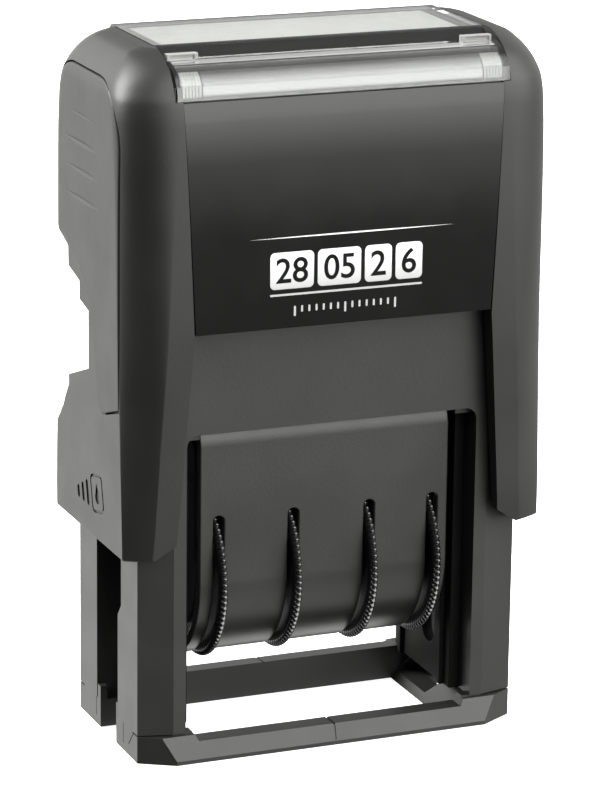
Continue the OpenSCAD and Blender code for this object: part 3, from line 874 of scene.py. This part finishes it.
def surface_x(y, z):
    """Half width of the cap's outside at a point of its side."""
    half_x, half_y, corner_x, corner_y, bulge = [level_at(z, column) for column in range(HALF_X, 6)]
    into = (abs(y) - half_y + corner_y) / corner_y
    if into <= 0:
        return half_x
    power = 2 / bulge
    sine = into ** (1 / power)
    return half_x - corner_x * (1 - math.sqrt(1 - sine * sine) ** power)


def lay_on_cap(grip, side):
    """Cuts the blank into fine strips and moves its outer face onto the cap's curved side."""
    work = bmesh.new()
    work.from_mesh(grip.data)
    planes = [((0, 0, level[0] * MM), (0, 0, 1)) for level in FINE_LEVELS]
    planes += [((0, sign * y * MM, 0), (0, 1, 0)) for sign in (-1, 1) for y in GRIP_STRIPS]
    for point, normal in planes:
        everything = work.verts[:] + work.edges[:] + work.faces[:]
        bmesh.ops.bisect_plane(work, geom=everything, plane_co=point, plane_no=normal)
    for vert in work.verts:
        if side * vert.co.x > (GRIP_BLANK_X - 2 * GRIP_ROUND) * MM:
            vert.co.x += side * (surface_x(vert.co.y / MM, vert.co.z / MM) - GRIP_BLANK_X) * MM
    work.to_mesh(grip.data)
    work.free()


def build_grips():
    for word, side in SIDES.items():
        grip = grip_blank("grip_pad_" + word, side, 0.0)
        round_rim(grip, side)
        lay_on_cap(grip, side)
        for z, depth in GROOVES:
            combine(grip, groove_cutter(side * (level_at(z, HALF_X) - depth), z, side))
        smooth(grip, 25)
        add_piece(grip, "cap", "grip_plastic", "grip_panel_" + word)


build_cap()
build_label()
build_grips()


# ---------------- print on the label

PRINT_THICK = 0.02


def walled(shape_faces, start, n):
    """Both sides of a flat shape whose points appear twice, n apart, and the walls between them."""
    faces, uses = [], {}
    for face in shape_faces:
        faces.append(tuple(start + i for i in face))
        faces.append(tuple(start + n + i for i in face))
        for a, b in zip(face, face[1:] + face[:1]):
            key = (min(a, b), max(a, b))
            uses[key] = uses.get(key, 0) + 1
    walls = [edge for edge, count in uses.items() if count == 1]
    return faces + [(start + a, start + b, start + n + b, start + n + a) for a, b in walls]


def raised(name, shapes, near, far):
    """One object from flat shapes of points and faces; near and far place a flat point on each side."""
    points, faces = [], []
    for shape_points, shape_faces in shapes:
        start, n = len(points), len(shape_points)
        points += [near(*p) for p in shape_points] + [far(*p) for p in shape_points]
        faces += walled(shape_faces, start, n)
    return make_object(name, points, faces)


def on_label(name, shapes, lift):
    """Flat shapes of (x, z) points laid on the label's curved face."""

    def place(x, z, off):
        return (x, -level_at(z, HALF_Y) - off, z)

    return raised(name, shapes, lambda x, z: place(x, z, lift), lambda x, z: place(x, z, -PRINT_THICK))


def flat(outline, centre=(0, 0)):
    """A filled outline as one shape."""
    points = [(centre[0] + a, centre[1] + b) for a, b in outline]
    return points, [tuple(range(len(points)))]


def numerals(text, height, centre=(0, 0)):
    """Plain numerals of a given height as one flat shape."""
    curve = bpy.data.curves.new("numerals", "FONT")
    curve.body = text
    curve.offset = 0.012
    curve.resolution_u = 6
    obj = bpy.data.objects.new("numerals", curve)
    scene.collection.objects.link(obj)
    graph = bpy.context.evaluated_depsgraph_get()
    mesh = bpy.data.meshes.new_from_object(obj.evaluated_get(graph))
    bpy.data.objects.remove(obj)
    xs = [v.co.x for v in mesh.vertices]
    ys = [v.co.y for v in mesh.vertices]
    scale = height / (max(ys) - min(ys))
    mid_x, mid_y = (max(xs) + min(xs)) / 2, (max(ys) + min(ys)) / 2
    points = []
    for x, y in zip(xs, ys):
        points.append((centre[0] + scale * (x - mid_x), centre[1] + scale * (y - mid_y)))
    faces = [tuple(face.vertices) for face in mesh.polygons]
    bpy.data.meshes.remove(mesh)
    return points, faces


# The date that the tiles and the bands show
DATE = {"day": "28", "month": "05", "decade": "2", "year": "6"}
# Four number tiles like the stamp's own date bands; the half width is by the count of figures
TILE_HALF_X = {1: 1.75, 2: 2.8}
TILE_HALF_Z = 2.25
TILE_MID_Z = 61.7
TILE_GAP = 0.5
TILE_ROUND = 0.6
FIGURE_HEIGHT = 3.1
PRINT_LEFT = -9.8
# The line under the tiles, and the scale under it with a long tick at each LONG_TICK
LINE_Z = 58.75
LINE_HALF = 0.13
LINE_ROUND = 0.1
TICK_TOP = 57.3
TICK_LEFT = -6.6
TICK_GAP = 0.93
TICKS = 15
LONG_TICK = 7
# A hairline above the tiles
HAIRLINE_X = (-12.4, 14.1)
HAIRLINE_Z = 65.72
HAIRLINE_HALF = 0.09
# How far the silver print and the figures on it stand off the label
PRINT_LIFT = 0.012
FIGURE_LIFT = 0.022


def hairline_outline():
    """A line that thins out towards both ends."""
    (left, right), steps = HAIRLINE_X, 24
    top = []
    for i in range(steps + 1):
        rise = HAIRLINE_HALF * math.sin(math.pi * i / steps)
        top.append((left + (right - left) * i / steps, HAIRLINE_Z + rise))
    return top + [(x, 2 * HAIRLINE_Z - z) for x, z in reversed(top[1:-1])]


def add_silver(name, shapes):
    add_piece(on_label(name, shapes, PRINT_LIFT), "cap", "bright_steel", finish="silver_print")


def build_print():
    tiles, figures = [], []
    x = PRINT_LEFT
    for text in DATE.values():
        half = TILE_HALF_X[len(text)]
        centre = (x + half, TILE_MID_Z)
        tiles.append(flat(rounded_box(half, TILE_HALF_Z, TILE_ROUND), centre))
        figures.append(numerals(text, FIGURE_HEIGHT, centre))
        x += 2 * half + TILE_GAP
    right = x - TILE_GAP
    bar = rounded_box((right - PRINT_LEFT) / 2, LINE_HALF, LINE_ROUND)
    lines = [flat(bar, ((right + PRINT_LEFT) / 2, LINE_Z))]
    for i in range(TICKS):
        half = 0.62 if i % LONG_TICK == 0 else 0.4
        tick = rounded_box(LINE_HALF, half, LINE_ROUND, 3)
        lines.append(flat(tick, (TICK_LEFT + TICK_GAP * i, TICK_TOP - half)))
    add_silver("print_tiles", tiles)
    add_silver("print_lines", lines)
    add_piece(on_label("print_numerals", figures, FIGURE_LIFT), "cap", "label_gloss")
    add_silver("print_hairline", [flat(hairline_outline())])


build_print()


# ---------------- index window

# The window's outline as (y, z): its lens, the step behind it, its back and its foot, and then its hollow
WINDOW_X = 21.3
HOLLOW_X = 20.7
LENS_FRONT = [(-14.1, 82.75), (-13.8, 84.2), (-12.9, 85.5), (-11.6, 86.4), (-10.2, 86.9)]
LENS_STEP = [(-9.5, 86.7), (-9.2, 86.45), (-7.4, 86.6), (-6, 87.6), (-5.6, 88)]
LENS_BACK = [(9.2, 88), (10.4, 86.9), (10.4, CEILING_HIGH + 0.05)]
LENS_FOOT = [(-13.3, CEILING_HIGH + 0.05), (-13.3, 82.75)]
LENS_HOLLOW = [
    (-13.25, CEILING_HIGH - 0.5), (-13.2, 84.4), (-12.5, 85.35), (-11.4, 86.0), (-10.2, 86.35), (9.6, 86.35),
    (9.6, CEILING_HIGH - 0.5),
]
# The card's front flap, just behind the lens; its back is shifted by as much in y and z
FLAP_SHIFT = 0.035
FLAP = [(-13.22, 83.0), (-13.22, 84.2), (-13.06, 84.5), (-12.3, 85.35), (-11.8, 85.65)]
FLAP_X = 17.9
# The snap tabs begin a little beside the flap
TAB_START = FLAP_X + 0.15
TAB_X = 20.5


def build_window():
    outline = rounded_path(LENS_FRONT, 4) + LENS_STEP + LENS_BACK + LENS_FOOT
    window = prism("index_window", outline, "x", -WINDOW_X, WINDOW_X)
    combine(window, prism("hollow", LENS_HOLLOW, "x", -HOLLOW_X, HOLLOW_X))
    smooth(window, 25)
    add_piece(window, "window", "window_clear", "window_cap")


def build_card_flap():
    """Front flap of the index card, which follows the lens down to the label."""
    path = rounded_path(FLAP, 5)
    back = [(y + FLAP_SHIFT, z - FLAP_SHIFT) for y, z in reversed(path)]
    flap = prism("card_flap", path + back, "x", -FLAP_X, FLAP_X)
    smooth(flap, 40)
    add_piece(flap, "cap", "card_paper", finish="card_flap")


def build_window_tabs():
    """Ribbed snap tabs inside both ends of the lens: a corrugated sheet that follows the lens."""
    path = rounded_path(FLAP, 5)
    ribs, steps, wave, thick = 6, 8, 0.03, 0.04
    points, faces = [], []
    columns = ribs * steps + 1
    for side in (-1, 1):
        start = len(points)
        for i in range(columns):
            x = side * (TAB_START + (TAB_X - TAB_START) * i / (columns - 1))
            shift = wave * math.cos(2 * math.pi * i / steps)
            points += [(x, y + shift, z - shift) for y, z in path]
            points += [(x, y + shift + thick, z - shift - thick) for y, z in reversed(path)]
        faces += [tuple(start + i for i in face) for face in skin(columns, 2 * len(path))]
    tabs = make_object("window_tabs", points, faces)
    smooth(tabs, 60)
    add_piece(tabs, "window", "window_clear", finish="window_frost")


def build_tab_blocks():
    """Hinge blocks above the ribs, one at each end of the lens."""
    for word, side in SIDES.items():
        tab = block("tab_block_" + word, across(side, 17.0, TAB_X + 0.4), (-9.35, -8.4), (86.5, 87.5))
        combine(tab, block("dip", across(side, 17.5, TAB_X), (-10, -9.15), (86.8, 87.3)))
        soften(tab, 0.06)
        add_piece(tab, "window", "window_clear", finish="window_frost")


build_window()
build_card_flap()
build_window_tabs()
build_tab_blocks()


# ---------------- dater

# Each wheel's middle and the end of its drum, along X
WHEELS = {"day": (-14.0, -5.0), "month": (-4.2, 5.1), "decade": (5.9, 10.1), "year": (14.4, 10.3)}
SHROUD_X = 16.45
SHROUD_FACE = -9.3
# The centre of the cover's round part as (y, z), and the angle at which the cover ends
SHROUD_TURN = (3.05, 21.75)
SHROUD_END = 252.4
SHROUD_SKIN = 1.2
SHROUD_BEVEL = 0.45
SHROUD_FACE_TOP = 39.05
SHROUD_TOP = 40.7
SLOT_HALF = 0.72
SLOT_TOP = 30.2


def build_shroud():
    """Curved cover with a slot over each wheel."""
    radius = SHROUD_TURN[0] - SHROUD_FACE
    outer = [(SHROUD_FACE + SHROUD_BEVEL, SHROUD_TOP), (SHROUD_FACE, SHROUD_FACE_TOP)]
    outer += arc(SHROUD_TURN, radius, 180, SHROUD_END, 40)
    inner = arc(SHROUD_TURN, radius - SHROUD_SKIN, SHROUD_END, 180, 40)
    inside = SHROUD_FACE + SHROUD_SKIN
    inner += [(inside, SHROUD_FACE_TOP), (inside + SHROUD_BEVEL, SHROUD_TOP)]
    shroud = prism("dater_cover", outer + inner, "x", -SHROUD_X, SHROUD_X)
    for middle, _ in WHEELS.values():
        slot = [(middle - SLOT_HALF, 5), (middle + SLOT_HALF, 5)]
        slot += arc((middle, SLOT_TOP - SLOT_HALF), SLOT_HALF, 0, 180, 16)
        combine(shroud, prism("slot", slot, "y", -12, 4))
    soften(shroud, 0.16, 40, 3, clamp=False)
    smooth(shroud, 30)
    add_piece(shroud, "dater", "shroud_plastic", "dater_shroud")


TEETH = 90
WHEEL_R = 11.3
WHEEL_HALF = 0.5
WEB_HALF = 0.34
RIM_R = 9.6
CROWN = 0.55
TOOTH_STEPS = 8
TOOTH_DEPTH = 0.42
DRUM_R = 5.0
WHEEL_BORE = 1.3


def build_wheel(word, middle, drum_end):
    """Thumb wheel: beaded teeth on a crowned rim, a dished web and the drum that drives its band."""
    around = TEETH * TOOTH_STEPS
    away = 1 if drum_end > middle else -1
    drum_x = abs(drum_end - middle)
    # rings from one face over the rim to the drum's end: offset along x, radius, share of tooth depth
    rings = [(-WHEEL_HALF, WHEEL_BORE, 0), (-WHEEL_HALF, 4.0, 0), (-WEB_HALF, 4.4, 0)]
    rings += [(-WEB_HALF, RIM_R - 0.4, 0), (-WHEEL_HALF, RIM_R, 0)]
    for i in range(9):
        t = -1 + 2 * i / 8
        rings.append((WHEEL_HALF * t * 0.98, WHEEL_R - CROWN * abs(t) ** 2.2, 1 - 0.5 * abs(t)))
    rings += [(WHEEL_HALF, RIM_R, 0), (WEB_HALF, RIM_R - 0.4, 0), (WEB_HALF, DRUM_R + 0.3, 0)]
    rings += [(WHEEL_HALF, DRUM_R, 0), (drum_x, DRUM_R, 0), (drum_x, WHEEL_BORE, 0)]
    points = []
    for offset, radius, share in rings:
        for i in range(around):
            t = 2 * math.pi * i / around
            r = radius - TOOTH_DEPTH * share * (1 - abs(math.cos(TEETH * t / 2)))
            points.append((middle + away * offset, AXLE[0] + r * math.cos(t), AXLE[1] + r * math.sin(t)))
    wheel = make_object(word + "_thumbwheel", points, skin(len(rings), around, closed=True))
    smooth(wheel, 50)
    add_piece(wheel, "turning_" + word + "_wheel", "wheel_plastic", word + "_wheel")


build_shroud()
for word, (middle, drum_end) in WHEELS.items():
    build_wheel(word, middle, drum_end)


# ---------------- bands with raised type

# The anvil stands over the dater's pivot
ANVIL_HALF = 3.1
ANVIL_ROUND = 1.2
ANVIL_TOP = 40.1
BAND_GAP = 0.15
BAND_THICK = 0.75
# Where a band begins, from its wheel's middle, and how far short of its drum's end it stops, by direction
BAND_START = 0.75
BAND_SHORT = {1: 0.2, -1: 0.1}
TYPE_TOP = 41.6
TYPE_HEIGHT = 3.3
# How far the type's root is sunk into its band
TYPE_SINK = 0.1


def band_outline(grow):
    """A belt round the drum and the anvil's two rounded corners, as 240 (y, z) points."""
    rims = [(AXLE, DRUM_R + BAND_GAP + grow)]
    for sign in (-1, 1):
        corner = (PIVOT[0] + sign * (ANVIL_HALF - ANVIL_ROUND), ANVIL_TOP - ANVIL_ROUND)
        rims.append((corner, ANVIL_ROUND + BAND_GAP + grow))
    points = []
    steps = 240
    for i in range(steps):
        t = 2 * math.pi * i / steps
        out = (math.cos(t), math.sin(t))
        # the belt touches the rim that reaches farthest in this direction
        centre, radius = max(rims, key=lambda rim: rim[0][0] * out[0] + rim[0][1] * out[1] + rim[1])
        points.append((centre[0] + radius * out[0], centre[1] + radius * out[1]))
    return points


def build_band(word, middle, drum_end):
    """Rubber band between its drum and the anvil, with mirrored numerals standing on it."""
    away = 1 if drum_end > middle else -1
    span = sorted((middle + away * BAND_START, drum_end - away * BAND_SHORT[away]))
    band = tube(word + "_belt", band_outline(BAND_THICK), band_outline(0), "x", *span)
    smooth(band, 40)
    add_piece(band, "dater", "band_rubber", word + "_band")
    centre = ((span[0] + span[1]) / 2, PIVOT[0])
    figure, faces = numerals(DATE[word], TYPE_HEIGHT)
    mirrored = [(centre[0] - x, centre[1] + y) for x, y in figure]
    type_root = ANVIL_TOP + BAND_GAP + BAND_THICK - TYPE_SINK
    type_piece = raised(
        word + "_type", [(mirrored, faces)], lambda x, y: (x, y, type_root), lambda x, y: (x, y, TYPE_TOP)
    )
    add_piece(type_piece, "dater", "band_rubber")


for word, (middle, drum_end) in WHEELS.items():
    build_band(word, middle, drum_end)


# ---------------- springs and ink pad

SPRING_AT = (22.15, -8.2)
SPRING_R = 1.75
SPRING_WIRE = 0.44
SPRING_TURNS = 11
SPRING_LOW = 38.5
SPRING_HIGH = 82.3
# How far the end turns close up
SPRING_CLOSE = 0.045


def build_spring(side, word):
    """Coil of round wire whose first and last turns lie closer together."""
    per_turn, sides = 28, 10
    rings = SPRING_TURNS * per_turn + 1
    points = []
    for i in range(rings):
        share = i / (rings - 1)
        turn = 2 * math.pi * SPRING_TURNS * share
        rise = share - SPRING_CLOSE * math.sin(2 * math.pi * share)
        z = SPRING_LOW + (SPRING_HIGH - SPRING_LOW) * rise
        for k in range(sides):
            t = 2 * math.pi * k / sides
            reach = SPRING_R + SPRING_WIRE * math.cos(t)
            x, y = side * SPRING_AT[0] + reach * math.cos(turn), SPRING_AT[1] + reach * math.sin(turn)
            points.append((x, y, z + SPRING_WIRE * math.sin(t)))
    spring = make_object("coil_" + word, points, skin(rings, sides))
    smooth(spring, 50)
    add_piece(spring, "frame", "bright_steel", "return_spring_" + word)
    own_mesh(spring)


PAD_X = 15.55
PAD_Y = (-8.55, 5.15)
PAD_Z = (41.8, 45.8)
# How far the pad's face rounds away at its rim, and the powers that keep its middle flat
PAD_ROUND = 0.5
PAD_FLAT = (14, 10)


def build_ink_pad():
    """Felt pad in its tray, with its face towards the type rounded away at the rim."""
    across_x, across_y = 36, 18
    mid, half = (PAD_Y[0] + PAD_Y[1]) / 2, (PAD_Y[1] - PAD_Y[0]) / 2
    points = []
    for i in range(across_x + 1):
        u = math.sin((-1 + 2 * i / across_x) * math.pi / 2)
        face, back = [], []
        for j in range(across_y + 1):
            v = math.sin((-1 + 2 * j / across_y) * math.pi / 2)
            edge = (1 - abs(u) ** PAD_FLAT[0]) * (1 - abs(v) ** PAD_FLAT[1])
            face.append((PAD_X * u, mid + half * v, PAD_Z[0] + PAD_ROUND * (1 - edge)))
            back.append((PAD_X * u, mid + half * v, PAD_Z[1]))
        points += face + back[::-1]
    pad = make_object("felt_pad", points, skin(across_x + 1, 2 * (across_y + 1)))
    smooth(pad, 60)
    add_piece(pad, "cartridge", "ink_felt", "ink_pad")


for word, side in SIDES.items():
    build_spring(side, word)
build_ink_pad()


# ---------------- frame and the other CAD nodes

# How far the edges of each node are rounded
EDGES = {
    "frame_body": 0.2, "foot_ring": 0.12, "card_tray": 0.15, "cam_plate_left": 0.15, "cam_plate_right": 0.15,
    "push_arm_left": 0.2, "push_arm_right": 0.2, "ink_cartridge": 0.25, "detent_comb": 0.1,
}
# Nodes with a finish of their own; the cam plates' nearly black, barely reflecting finish is painted shade
# for the inside of the frame
SPECIAL = {"cam_plate_left": "cam_plastic", "cam_plate_right": "cam_plastic"}

for name, node in nodes.items():
    node.data.materials.clear()
    node.data.materials.append(finishes[SPECIAL.get(name, slot_of[name])])
    if name in EDGES:
        soften(node, EDGES[name])
